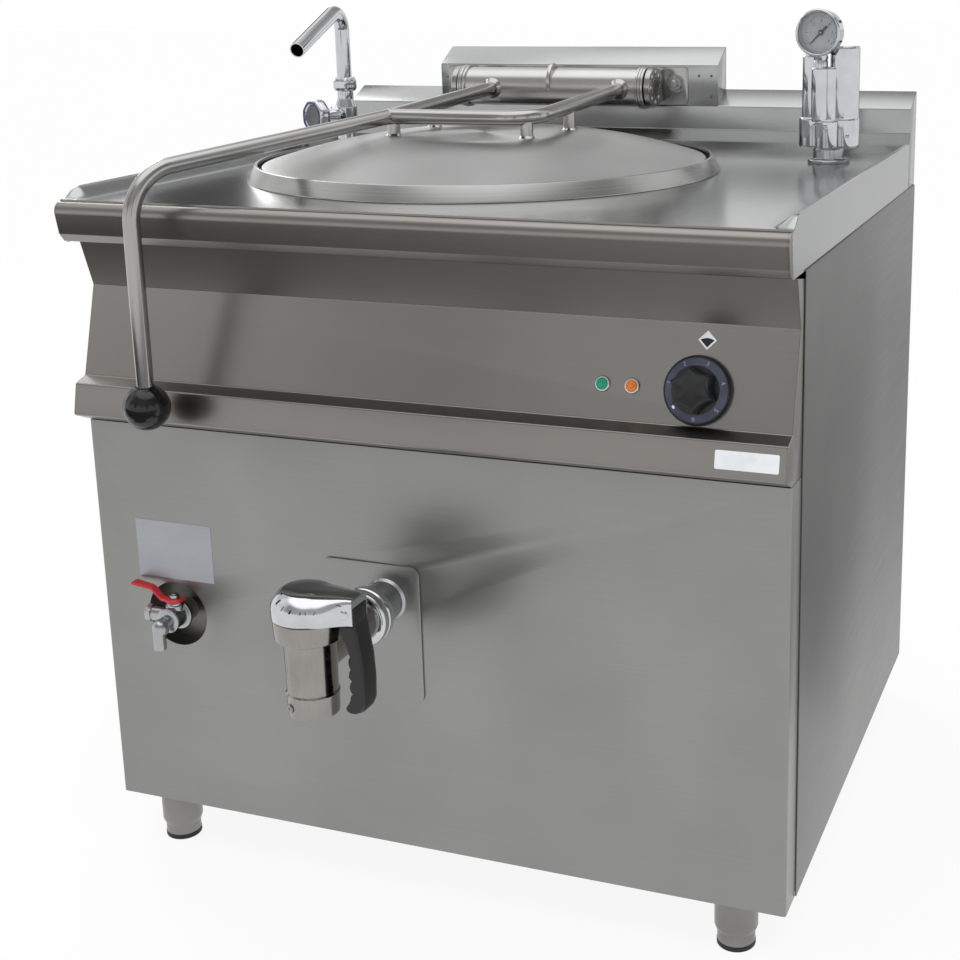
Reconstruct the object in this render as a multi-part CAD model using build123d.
"""Steam jacketed kettle, 80 litre class: an 800 mm module with a round pan under a hinged lid.

Everything is drawn in cabinet coordinates: X runs to the right, Y runs back from the plane of the lower
front panel, and Z runs up from the underside of the cabinet. save() then sets each piece on the floor,
with the origin under the middle of the whole machine. Lengths are in millimetres.
"""
from build123d import *
from math import atan2, cos, degrees, hypot, pi, radians, sin, tan
import os

# ---- cabinet ----
WIDTH = 800.0             # over the side panels
DEPTH = 671.0             # lower front panel to the back
SHEET = 1.5               # casing panels
FOOT_HEIGHT = 58.0        # floor to the underside of the cabinet
FRONT_TO_CENTRE = 251.0   # lower front panel to the origin
SEAM = 0.8                # open joint between neighbouring panels
RETURN_DEPTH = 40.0       # how far the front pieces wrap round the sides
TRAY_RIM = 20.0           # upturned edge of the base tray
TRAY_GAP = 0.3            # tray edge to the panels round it
CORNER_R = 2.5            # bend at the upright front corners
SIDE_FOLD = 18.0          # inward fold along the top of a side panel
BEYOND = 100.0            # how far a cut runs past the piece it goes through

# ---- front profile, from the lower panel up to the worktop ----
PANEL_H = 457.0           # lower front panel
LIP_REACH = 24.5          # nose of the lip ahead of the panel
LIP_SLOPE_H = 11.5        # slanted underside of the lip
LIP_FACE_H = 34.0
LIP_FACE_LEAN = 7.5
LEDGE_RISE = 6.0
CONTROL_H = 96.5          # slanted control face
CONTROL_LEAN = 28.0
RECESS_H = 46.0           # shaded strip over the control face
RECESS_LEAN = 15.0

# ---- worktop ----
WORKTOP_Z = PANEL_H + LIP_SLOPE_H + LIP_FACE_H + LEDGE_RISE + CONTROL_H + RECESS_H + 52.5  # its flat surface
TOP_SHEET = 2.0
NOSE_REACH = 27.0         # bullnose ahead of the lower panel
NOSE_R = 5.0
APRON_LEAN = 7.0          # slanted front of the worktop
APRON_H = 29.5
HEM_LEAN = 7.5            # chamfer under the apron
HEM_H = 9.0
RIM_H = 13.0              # raised side edges over the flat
RIM_W = 24.0
RIM_RAMP = 29.0           # run over which a raised edge comes down to the nose
RIM_FRONT = 14.0          # front end of the ramp ahead of the lower panel
FLANGE_DROP = 45.0        # side edge below the flat surface
FLANGE_FRONT = 8.0

# ---- upstand and hinge box at the back ----
UPSTAND_D = 41.0          # top of the upstand, front to back
UPSTAND_FOOT = 8.0        # foot of the upstand ahead of its face
UPSTAND_FOOT_H = 11.5
UPSTAND_BEND_H = 25.5
UPSTAND_FRONT_H = 56.5
UPSTAND_BACK_H = 76.5
BOX_W = 402.0
BOX_FRONT_H = 109.5
BOX_BACK_H = 132.5

# ---- pan ----
PAN_INSET = 340.0         # pan axis from the left side of the cabinet
PAN_X = PAN_INSET - WIDTH / 2
PAN_Y = 340.0
BOX_OFFSET = PAN_X + 5.0  # middle of the hinge box
PAN_R = 250.0             # inside
PAN_WALL = 2.0
PAN_DEPTH = 432.5         # worktop down to the inside of the bottom
PAN_CORNER_R = 22.0
PAN_SEAM = 60.0           # weld between wall and bottom, over the inside of the bottom
PAN_FLANGE_R = 267.0
COLLAR_FOOT_R = 281.5
COLLAR_TOP_R = 270.5
COLLAR_H = 18.0
WORKTOP_HOLE_R = 256.0
JACKET_R = 280.0
JACKET_WALL = 3.0
JACKET_TOP_DROP = 62.0    # top of the jacket below the worktop
JACKET_BOTTOM_Z = WORKTOP_Z - PAN_DEPTH - 121.0
WELD_GAP = 0.05           # between round pieces that are welded together
LAGGING = 24.0            # mineral wool round the jacket
LAGGING_GAP = 0.5
LAGGING_BOTTOM_Z = JACKET_BOTTOM_Z + 35.0
LAGGING_TOP_Z = WORKTOP_Z - 93.5

# ---- lid ----
LID_R = 265.7
LID_SHEET = 1.5
LID_EDGE_H = 10.0
LID_CLEAR = 2.5           # over the pan flange, so that the rear edge passes as the lid starts to lift
LID_DISC_R = 115.0
LID_RISE = 46.5           # worktop to the top of the flat disc
LID_BULGE = 4.0           # how far the cone swells outward

# ---- lid frame, hinge and lever ----
TUBE_R = 9.0
HINGE_Y = DEPTH - 81.0
HINGE_Z = WORKTOP_Z + 82.5
ARM_X = 90.0              # arms to either side of the pan axis
ARM_DROP = 13.5           # fall from the drum to the front bar
BAR_Y = PAN_Y - 68.0
ARM_BEND_R = 42.0
CORNER_WELD_R = 10.0      # weld where the lever joins the frame
STUB_R = 7.5
STUB_REAR_Y = PAN_Y + 48.0
DRUM_R = 25.0
DRUM_WALL = 2.5
DRUM_LEFT = PAN_X - 132.0
DRUM_RIGHT = PAN_X + 114.0
DRUM_COLLAR_R = 28.0
DRUM_COLLAR_W = 9.0
SHAFT_R = 10.0
SHAFT_RUN = 0.05          # running clearance on the shaft
SPRING_R = 19.0
SPRING_BORE_R = 12.0
SPRING_WIRE = 5.0
SPRING_TURNS = 14
LUG_W = 16.0
LEVER_OUT_X = PAN_X - 216.0   # upright part of the lever
LEVER_OUT_Y = -60.0
LEVER_BEND_Z = WORKTOP_Z + 36.5
LEVER_BEND_R = 55.0
BALL_R = 24.5
BALL_Z = PANEL_H + 40.0
BALL_SOCKET = 16.0        # how deep the lever enters the ball
BRACKET_GAP = 1.5
BRACKET_W = 8.0
BRACKET_R = 26.0
BRACKET_BOLT_R = 3.5
BRACKET_BOLT_PCR = 18.0
WALL_PLATE_T = 3.0
WALL_PLATE_W = 45.0
WALL_PLATE_H = 50.0
WALL_NUT_R = 9.0

# ---- draw-off valve ----
DRAW_X = PAN_X + 22.0
DRAW_Z = WORKTOP_Z - PAN_DEPTH + 18.0  # pipe axis
DRAW_PIPE_R = 21.5
DRAW_PIPE_WALL = 3.0
PLATE_LEFT = DRAW_X - 74.0
PLATE_RIGHT = DRAW_X + 41.0
PLATE_LOW = DRAW_Z - 115.0
PLATE_HIGH = DRAW_Z + 40.0
PLATE_T = 2.0
PLATE_CORNER_R = 10.0
COUPLING_R = 30.0
COUPLING_W = 24.0
COUPLING_OUT = 60.0       # coupling face ahead of the front panel
VALVE_Y = -155.0          # axis of the upright body
VALVE_R = 25.0
VALVE_BORE_R = 19.5
VALVE_LOW = DRAW_Z - 55.0
VALVE_BAND_H = 21.0
VALVE_BAND_R = 26.0
VALVE_RING_LOW = DRAW_Z + 26.0
VALVE_TOP = DRAW_Z + 45.0
VALVE_RING_R = 33.0
VALVE_CAP_T = 8.0
SEAT_R = 13.0
SEAT_T = 6.0
SEAT_Z = DRAW_Z - 33.0
PLUG_R = 17.5
PLUG_T = 8.0
STEM_R = 4.0
STEM_RUN = 0.1
STEM_TOP = DRAW_Z + 55.0
NECK_R = 20.5
NECK_BORE_R = 15.0
PIN_X = DRAW_X + 47.0
PIN_Z = DRAW_Z + 57.0
PIN_R = 3.0
PIN_RUN = 0.08
LUG_R = 6.0
LUG_HALF = 8.0            # pivot lug on the body, half its width
HOOD_R = 36.0
HOOD_HALF = 15.0          # half width of the hood at the lever end
HOOD_WALL = 2.5
HOOD_LIFT = 1.0           # gap between the body ring and the hood
HOOD_TOP = DRAW_Z + 73.0
HOOD_DOME = 9.0
HOOD_END_X = DRAW_X + 56.0
GRIP_W = 29.0             # handle, along Y
GRIP_LOW = DRAW_Z - 39.0
GRIP_OUT_X = DRAW_X + 62.0
GRIP_IN_X = DRAW_X + 44.0
GROOVES = 4
GROOVE_R = 8.5

# ---- level tap ----
TAP_HOLE_X = 96.5 - WIDTH / 2
TAP_HOLE_Z = JACKET_BOTTOM_Z + 87.0
TAP_HOLE_R = 37.5
RECESS_R = 39.5           # dish behind the hole
RECESS_FLANGE = 6.0
RECESS_SHEET = 1.0
RECESS_BACK_Y = 24.0
TAP_X = TAP_HOLE_X + 5.5
TAP_Y = -12.0
TAP_Z = TAP_HOLE_Z + 3.0
TAP_BODY_R = 13.0
TAP_PIPE_R = 8.5
TAP_BORE_R = 4.5
TAP_BALL_R = 8.0
TAP_RUN = 0.1
TAP_PORT_L = 26.0
TAP_SPOUT_Y = -44.0
TAP_SPOUT_R = 7.0
TAP_SPOUT_LOW = TAP_Z - 26.0
TAP_STEM_R = 3.5
TAP_STEM_TOP = TAP_Z + 26.0
TAP_BONNET_R = 9.0
TAP_LEVER_L = 52.0
TAP_LEVER_W = 15.0
TAP_LEVER_T = 2.5

# ---- water tap ----
WATER_X = 38.0 - WIDTH / 2
WATER_Y = DEPTH - 126.0
WATER_R = 13.0
WATER_BODY_H = 77.5
WATER_NUT_H = 18.0
WATER_NUT_R = 17.0
TAIL_R = 9.0              # pipe below the tap
TAIL_BEND_R = 20.0
TAIL_RUN = 60.0           # slanted run of that pipe toward the inlet
SPOUT_R = 10.0
SPOUT_WALL = 1.5
SPOUT_RUN = 0.1
SPOUT_SLOPE = 20.0        # fall of the spout, in degrees
SPOUT_BEND_R = 24.0
SPOUT_END = (WATER_X + 15.0, WATER_Y - 145.0, WORKTOP_Z + 138.5)
WHEEL_R = 25.0
WHEEL_T = 20.0
WHEEL_LOBES = 8
WHEEL_TURN = 26.0         # its axis, turned from straight ahead toward the left
WHEEL_REACH = 36.0
WHEEL_Z = WORKTOP_Z + 44.5
WHEEL_GAP = 1.0

# ---- safety group ----
SAFETY_X = WIDTH / 2 - 81.0
SAFETY_Y = DEPTH - 153.0
SAFETY_FLANGE_R = 25.5
SAFETY_FLANGE_T = 4.5
SAFETY_NECK_R = 19.0
SAFETY_LOW = 18.5         # over the worktop
SAFETY_MID = 54.5
SAFETY_TOP = 140.0
SAFETY_LOBE_R = 19.0
SAFETY_LOBE_X = 18.0
GAUGE_R = 28.0
GAUGE_T = 22.0
GAUGE_RISE = 156.0        # gauge axis over the worktop
GAUGE_TURN = 8.0          # turned toward the left
GAUGE_STEM_R = 6.0
GAUGE_DX = -9.0           # gauge axis from the middle of the group
GAUGE_DY = -13.0
DIAL_FRONT = 6.0          # face of the dial plate, from the back of the case
NEEDLE_ZERO = 45.0        # degrees: the tip then points down and to the left
NEEDLE_L = 19.0
GLASS_T = 2.0

# ---- controls ----
GREEN_X = WIDTH / 2 - 192.5
ORANGE_X = WIDTH / 2 - 162.0
LAMP_R = 8.0
LAMP_UP = 35.0            # up the control face, from its lower edge
KNOB_X = WIDTH / 2 - 95.0
KNOB_UP = 35.5
KNOB_SKIRT_R = 34.0
KNOB_SKIRT_T = 13.0
KNOB_GRIP_R = 23.0
KNOB_GRIP_T = 18.0
KNOB_FLUTES = 6
KNOB_GAP = 0.5
SPINDLE_R = 3.0
THERMOSTAT_W = 46.0
THERMOSTAT_D = 36.0

# ---- feet ----
FOOT_X = WIDTH / 2 - 59.0
FOOT_INSET = 28.0         # foot axis behind the front panel, and ahead of the back
FOOT_R = 23.0
FOOT_SLEEVE_H = 40.0
FOOT_TAPER = 5.0          # the sleeve narrows at its lower end
FOOT_STEM_R = 20.0
FOOT_RUN = 0.3
FOOT_PAD_R = 20.5
FOOT_PAD_H = 6.0

# ---- inner frame and services ----
POST = 30.0
POST_WALL = 2.0
POST_X = WIDTH / 2 - 35.0
POST_FRONT_Y = 60.0
POST_REAR_Y = DEPTH - 31.0
HEATER_R = 6.0
HEATER_REACH = 170.0      # front of the longest loop ahead of the pan axis
HEATER_PITCH = 50.0
HEATER_SPREAD = 45.0
HEATER_STEM = 18.0
HEATER_STEM_Y = 100.0
HEATER_Z = JACKET_BOTTOM_Z + 25.0
HEATER_COUNT = 3
STEAM_PIPE_R = 9.0
STEAM_BEND_R = 30.0
STEAM_Z = WORKTOP_Z - 79.5  # where it leaves the jacket
PIPE_WALL = 1.5
INLET_R = 10.5
INLET_X = 100.0 - WIDTH / 2
INLET_Z = 120.0
INLET_L = 22.0
GLAND_R = 14.0
GLAND_X = WIDTH / 2 - 100.0
GLAND_BORE_R = 6.5
CONTROL_BOX = (150.0, 60.0, 110.0)


def block(x0, x1, y0, y1, z0, z1):
    """A box between two corners."""
    return Pos((x0 + x1) / 2, (y0 + y1) / 2, (z0 + z1) / 2) * Box(x1 - x0, y1 - y0, z1 - z0)


def outline(points):
    """A flat face from its corners."""
    return make_face(Polyline(*points, close=True))


def along_x(points_yz, x0, x1):
    """A prism with a side-view outline, between two places across the cabinet."""
    return Pos(x0, 0, 0) * extrude(Plane.YZ * outline(points_yz), amount=x1 - x0)


def along_y(points_xz, y0, y1):
    """A prism with a front-view outline."""
    return Pos(0, y1, 0) * extrude(Plane.XZ * outline(points_xz), amount=y1 - y0)


def along_z(points_xy, z0, z1):
    """A prism with a plan outline."""
    return Pos(0, 0, z0) * extrude(outline(points_xy), amount=z1 - z0)


def sheet(points, thickness):
    """The closed outline of folded sheet: the path, and its offset to the right with mitred bends."""
    sides = []
    for (a, b), (c, d) in zip(points, points[1:]):
        length = hypot(c - a, d - b)
        sides.append(((c - a) / length, (d - b) / length))
    inner = []
    for i, (a, b) in enumerate(points):
        before = sides[max(i - 1, 0)]
        after = sides[min(i, len(sides) - 1)]
        scale = thickness / (1 + before[0] * after[0] + before[1] * after[1])
        inner.append((a + (before[1] + after[1]) * scale, b - (before[0] + after[0]) * scale))
    return points + inner[::-1]


def turned(points_rz, x=0.0, y=0.0):
    """A turned piece on an upright axis, from its half section."""
    return Pos(x, y, 0) * revolve(Plane.XZ * outline(points_rz), axis=Axis.Z)


def rod(start, end, radius):
    """A round bar between two points."""
    a = Vector(*start)
    b = Vector(*end)
    plane = Plane(origin=a, z_dir=b - a)
    return plane * Cylinder(radius, (b - a).length, align=(Align.CENTER, Align.CENTER, Align.MIN))


def ring(start, end, radius, bore):
    """A round sleeve between two points."""
    return rod(start, end, radius) - rod(start, end, bore)


def bent_bar(points, radii, radius):
    """A round bar along straight runs joined by tangent bends."""
    path = FilletPolyline(*points, radius=radii)
    start = path @ 0
    section = Plane(origin=start, z_dir=path % 0) * Circle(radius)
    return sweep(section, path=path)


def bent_tube(points, radii, radius, wall):
    """A round tube along straight runs joined by tangent bends."""
    return bent_bar(points, radii, radius) - bent_bar(points, radii, radius - wall)


def save(name, shape):
    """Writes one piece, moved from cabinet coordinates to its place over the floor."""
    placed = Pos(0, -FRONT_TO_CENTRE, FOOT_HEIGHT) * shape
    solids = placed.solids()
    export_step(solids[0] if len(solids) == 1 else Compound(children=solids), f"parts/{name}.step")


# ---- places worked out from the sizes above ----
HALF = WIDTH / 2
LIP_NOSE_Z = PANEL_H + LIP_SLOPE_H
LIP_TOP_Z = LIP_NOSE_Z + LIP_FACE_H
CONTROL_LOW = (0.0, LIP_TOP_Z + LEDGE_RISE)
CONTROL_HIGH = (CONTROL_LEAN, CONTROL_LOW[1] + CONTROL_H)
RECESS_TOP = (CONTROL_HIGH[0] - RECESS_LEAN, CONTROL_HIGH[1] + RECESS_H)
FASCIA_LINE = [
    (0.0, PANEL_H + SEAM),
    (-LIP_REACH, LIP_NOSE_Z),
    (-LIP_REACH + LIP_FACE_LEAN, LIP_TOP_Z),
    CONTROL_LOW,
    CONTROL_HIGH,
    RECESS_TOP,
]
NOSE_Z = WORKTOP_Z - NOSE_R
APRON_LOW = (-NOSE_REACH + APRON_LEAN, NOSE_Z - APRON_H)
HEM_LOW = (APRON_LOW[0] + HEM_LEAN, APRON_LOW[1] - HEM_H)
APRON_BACK = (HEM_LOW[0] + 24.0, HEM_LOW[1] - SEAM * 4)
UPSTAND_Y = DEPTH - UPSTAND_D
UPSTAND_FOOT_Y = UPSTAND_Y - UPSTAND_FOOT
FLANGE_LOW = WORKTOP_Z - FLANGE_DROP
BOX_LEFT = BOX_OFFSET - BOX_W / 2
BOX_RIGHT = BOX_OFFSET + BOX_W / 2
FLANGE_TOP = WORKTOP_Z + TOP_SHEET
PAN_BOTTOM = WORKTOP_Z - PAN_DEPTH
JACKET_TOP = WORKTOP_Z - JACKET_TOP_DROP
LID_LOW = FLANGE_TOP + LID_CLEAR
LID_TOP = WORKTOP_Z + LID_RISE
ARM_LEFT = PAN_X - ARM_X
ARM_RIGHT = PAN_X + ARM_X
BAR_Z = HINGE_Z - ARM_DROP
CONTROL_TILT = degrees(atan2(CONTROL_LEAN, CONTROL_H))
CONTROL_LENGTH = hypot(CONTROL_LEAN, CONTROL_H)
CONTROL_NORMAL = (0, -CONTROL_H / CONTROL_LENGTH, CONTROL_LEAN / CONTROL_LENGTH)
FOOT_REAR_Y = DEPTH - FOOT_INSET
STEAM_TURN = (SAFETY_X, SAFETY_Y, STEAM_Z)


def on_control_face(x, up, out):
    """A point on the slanted control face: across, up the slope, and out from it."""
    tilt = radians(CONTROL_TILT)
    y = CONTROL_LOW[0] + up * sin(tilt) - out * cos(tilt)
    z = CONTROL_LOW[1] + up * cos(tilt) + out * sin(tilt)
    return (x, y, z)


def base_tray():
    """Bottom of the cabinet: a tray with upturned edges, holes for the services and the foot studs."""
    x = HALF - SHEET - TRAY_GAP
    y0 = SHEET + TRAY_GAP
    y1 = DEPTH - SHEET - TRAY_GAP
    tray = block(-x, x, y0, y1, 0, TRAY_RIM)
    tray -= block(-x + TOP_SHEET, x - TOP_SHEET, y0 + TOP_SHEET, y1 - TOP_SHEET, TOP_SHEET, TRAY_RIM + 1)
    return tray


def support_frame():
    """Four square posts and the rails between them, under the worktop."""
    def square(x0, x1, y0, y1, z0, z1, axis):
        bar = block(x0, x1, y0, y1, z0, z1)
        w = POST_WALL
        grow = {"x": (-1, w, w), "y": (w, -1, w), "z": (w, w, -1)}[axis]
        core = block(x0 + grow[0], x1 - grow[0], y0 + grow[1], y1 - grow[1], z0 + grow[2], z1 - grow[2])
        return bar - core
    h = POST / 2
    frame = None
    top = WORKTOP_Z - TOP_SHEET
    for x in (-POST_X, POST_X):
        for y in (POST_FRONT_Y, POST_REAR_Y):
            post = square(x - h, x + h, y - h, y + h, TOP_SHEET, top, "z")
            frame = post if frame is None else frame + post
    for x in (-POST_X, POST_X):
        frame += square(x - h, x + h, POST_FRONT_Y + h, POST_REAR_Y - h, TOP_SHEET, TOP_SHEET + POST, "y")
    for z in (TOP_SHEET + h, top - h):
        for y in (POST_FRONT_Y, POST_REAR_Y):
            frame += square(-POST_X + h, POST_X - h, y - h, y + h, z - h, z + h, "x")
    return frame


def front_panel():
    """Lower front panel, wrapped round both sides, with the level tap hole and the draw-off hole."""
    line = [(HALF, RETURN_DEPTH), (HALF, 0), (-HALF, 0), (-HALF, RETURN_DEPTH)]
    panel = along_z(sheet(line, SHEET), 0, PANEL_H)
    corners = panel.edges().filter_by(Axis.Z).filter_by_position(Axis.Y, -0.01, 0.01)
    panel = fillet(corners, CORNER_R)
    panel -= rod((TAP_HOLE_X, -1, TAP_HOLE_Z), (TAP_HOLE_X, 2 * SHEET, TAP_HOLE_Z), TAP_HOLE_R)
    panel -= rod((DRAW_X, -1, DRAW_Z), (DRAW_X, 2 * SHEET, DRAW_Z), DRAW_PIPE_R + WELD_GAP)
    return panel


def control_fascia():
    """One folded piece from the lip up to the shaded recess, closed at both ends by cheeks."""
    fascia = along_x(sheet(FASCIA_LINE, SHEET), -HALF, HALF)
    cheek = FASCIA_LINE + [(RETURN_DEPTH, RECESS_TOP[1]), (RETURN_DEPTH, PANEL_H + SEAM)]
    fascia += along_x(cheek, -HALF, -HALF + SHEET)
    fascia += along_x(cheek, HALF - SHEET, HALF)
    for x, up, radius in (
        (GREEN_X, LAMP_UP, LAMP_R - 1.5),
        (ORANGE_X, LAMP_UP, LAMP_R - 1.5),
        (KNOB_X, KNOB_UP, SPINDLE_R + 1.5),
    ):
        fascia -= rod(on_control_face(x, up, 1), on_control_face(x, up, -2 * SHEET), radius)
    return fascia


def side_panel(side):
    """A side panel with its folded top edge; side is -1 on the left and 1 on the right."""
    y0 = RETURN_DEPTH + SEAM
    y1 = DEPTH - SHEET - SEAM
    x = side * HALF
    plate = block(min(x, x - side * SHEET), max(x, x - side * SHEET), y0, y1, 0, FLANGE_LOW - SEAM)
    fold_in = x - side * SIDE_FOLD
    top = FLANGE_LOW - SEAM
    return plate + block(min(x, fold_in), max(x, fold_in), y0, y1, top - SHEET, top)


def rear_panel():
    """Plain back of the cabinet, with the holes for the water inlet and the cable gland."""
    panel = block(-HALF, HALF, DEPTH - SHEET, DEPTH, 0, FLANGE_LOW - SEAM)
    for x, radius in ((INLET_X, INLET_R), (GLAND_X, GLAND_R - 3)):
        panel -= rod((x, DEPTH - 9, INLET_Z), (x, DEPTH + 1, INLET_Z), radius + WELD_GAP)
    return panel


def nose_outline():
    """Side view of the worktop's front edge, from the flat over the bullnose down to the hem."""
    steps = 4
    arc = []
    for i in range(steps + 1):
        angle = radians(90.0 * i / steps)
        arc.append((-NOSE_REACH + NOSE_R - NOSE_R * sin(angle), NOSE_Z + NOSE_R * cos(angle)))
    return [(-RIM_FRONT, WORKTOP_Z)] + arc + [APRON_LOW, HEM_LOW, APRON_BACK]


def worktop():
    """Pressed top: flat with raised side edges, a bullnosed front and the opening for the pan."""
    low = WORKTOP_Z - TOP_SHEET
    inner = HALF - RIM_W
    rim_top = WORKTOP_Z + RIM_H
    edge = HALF - TOP_SHEET
    section = [
        (-HALF, FLANGE_LOW), (-HALF, rim_top), (-edge, rim_top), (-inner, WORKTOP_Z),
        (inner, WORKTOP_Z), (edge, rim_top), (HALF, rim_top), (HALF, FLANGE_LOW),
        (edge, FLANGE_LOW), (edge, low), (-edge, low), (-edge, FLANGE_LOW),
    ]
    top = along_y(section, -RIM_FRONT, UPSTAND_FOOT_Y)
    ramp = [
        (-RIM_FRONT - 1, WORKTOP_Z), (-RIM_FRONT, WORKTOP_Z), (RIM_RAMP - RIM_FRONT, rim_top),
        (RIM_RAMP - RIM_FRONT, rim_top + 1), (-RIM_FRONT - 1, rim_top + 1),
    ]
    top -= along_x(ramp, -HALF - 1, HALF + 1)
    top -= along_x(
        [(-RIM_FRONT - 1, FLANGE_LOW - 1), (-FLANGE_FRONT, FLANGE_LOW - 1), (-RIM_FRONT, WORKTOP_Z),
         (-RIM_FRONT - 1, WORKTOP_Z)], -HALF - 1, HALF + 1)
    top += block(-HALF + SHEET, HALF - SHEET, UPSTAND_FOOT_Y, DEPTH - SHEET, low, WORKTOP_Z)
    top -= Pos(PAN_X, PAN_Y, WORKTOP_Z) * Cylinder(WORKTOP_HOLE_R, 4 * TOP_SHEET)
    for x, y, radius in ((WATER_X, WATER_Y, TAIL_R), (SAFETY_X, SAFETY_Y, STEAM_PIPE_R)):
        top -= Pos(x, y, WORKTOP_Z) * Cylinder(radius + WELD_GAP, 4 * TOP_SHEET)
    return top


def worktop_front():
    """Front edge of the worktop: a bullnose, apron and hem, closed at both ends."""
    nose = nose_outline()
    edge = along_x(sheet(nose, -TOP_SHEET), -HALF + TOP_SHEET, HALF - TOP_SHEET)
    lean = (RIM_FRONT - FLANGE_FRONT) / FLANGE_DROP
    corner = (-RIM_FRONT + (WORKTOP_Z - HEM_LOW[1]) * lean - SEAM, HEM_LOW[1])
    for x0 in (-HALF, HALF - TOP_SHEET):
        edge += along_x(nose[:-1] + [corner], x0, x0 + TOP_SHEET)
    return edge


def upstand():
    """Splash-back along the rear edge, closed at its ends."""
    foot = (UPSTAND_FOOT_Y, WORKTOP_Z)
    line = [
        (DEPTH, FLANGE_LOW), (DEPTH, WORKTOP_Z + UPSTAND_BACK_H), (UPSTAND_Y, WORKTOP_Z + UPSTAND_FRONT_H),
        (UPSTAND_Y, WORKTOP_Z + UPSTAND_BEND_H), (UPSTAND_FOOT_Y, WORKTOP_Z + UPSTAND_FOOT_H), foot,
    ]
    body = along_x(sheet(line, -SHEET), -HALF, HALF)
    cheek = line + [(UPSTAND_FOOT_Y, FLANGE_LOW)]
    body += along_x(cheek, -HALF, -HALF + SHEET)
    body += along_x(cheek, HALF - SHEET, HALF)
    return body


def hinge_box():
    """Raised box on the upstand that carries the hinge."""
    low_front = (UPSTAND_Y, WORKTOP_Z + UPSTAND_FRONT_H)
    low_back = (DEPTH, WORKTOP_Z + UPSTAND_BACK_H)
    high_front = (UPSTAND_Y, WORKTOP_Z + BOX_FRONT_H)
    high_back = (DEPTH, WORKTOP_Z + BOX_BACK_H)
    shape = along_x([low_front, high_front, high_back, low_back], BOX_LEFT, BOX_RIGHT)
    lift = SHEET
    core = [
        (UPSTAND_Y + SHEET, low_front[1] - 1), (UPSTAND_Y + SHEET, high_front[1] - lift),
        (DEPTH - SHEET, high_back[1] - lift - SHEET), (DEPTH - SHEET, low_back[1] - 3),
    ]
    return shape - along_x(core, BOX_LEFT + SHEET, BOX_RIGHT - SHEET)


def pan_collar():
    """Cone-shaped ring that stands round the pan and takes the edge of the lid."""
    top = WORKTOP_Z + COLLAR_H
    inner = COLLAR_TOP_R - SHEET
    section = [
        (COLLAR_FOOT_R, WORKTOP_Z), (COLLAR_FOOT_R - 1, WORKTOP_Z + 2), (COLLAR_TOP_R + 1, top - 1),
        (COLLAR_TOP_R, top), (inner, top), (inner, top - 3), (COLLAR_FOOT_R - 5, WORKTOP_Z + 2),
        (PAN_FLANGE_R + 0.5, WORKTOP_Z + 2), (PAN_FLANGE_R + 0.5, WORKTOP_Z),
    ]
    return turned(section, PAN_X, PAN_Y)


def pan_profile(radius, bottom, top):
    """Half section of a cup with a rounded corner, as a closed face."""
    corner = PAN_CORNER_R + radius - PAN_R
    with BuildSketch(Plane.XZ) as cup:
        with BuildLine():
            Polyline((0, top), (0, bottom), (radius - corner, bottom))
            RadiusArc((radius - corner, bottom), (radius, bottom + corner), -corner)
            Polyline((radius, bottom + corner), (radius, top), (0, top))
        make_face()
    return cup.sketch


def pan_body(radius, bottom, top):
    """A solid cup on the pan axis."""
    return Pos(PAN_X, PAN_Y, 0) * revolve(pan_profile(radius, bottom, top), axis=Axis.Z)


def outlet_bore():
    """The draw-off pipe's bore, from outside the pan to well inside it."""
    bore = DRAW_PIPE_R - DRAW_PIPE_WALL
    return rod((DRAW_X, PAN_Y - PAN_R - 30, DRAW_Z), (DRAW_X, PAN_Y - PAN_R + 30, DRAW_Z), bore)


def pan_wall():
    """Rolled wall of the boiling pan, with the flange that lies on the worktop."""
    low = PAN_BOTTOM + PAN_SEAM
    outer = PAN_R + PAN_WALL
    section = [
        (PAN_R, low), (outer, low), (outer, WORKTOP_Z), (PAN_FLANGE_R, WORKTOP_Z),
        (PAN_FLANGE_R, FLANGE_TOP), (PAN_R, FLANGE_TOP)]
    return turned(section, PAN_X, PAN_Y)


def pan_bottom():
    """Spun bottom of the pan with its rounded corner and the outlet, butt-welded under the wall."""
    top = PAN_BOTTOM + PAN_SEAM
    bottom = pan_body(PAN_R + PAN_WALL, PAN_BOTTOM - PAN_WALL, top)
    return bottom - pan_body(PAN_R, PAN_BOTTOM, top + 1) - outlet_bore()


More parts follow.
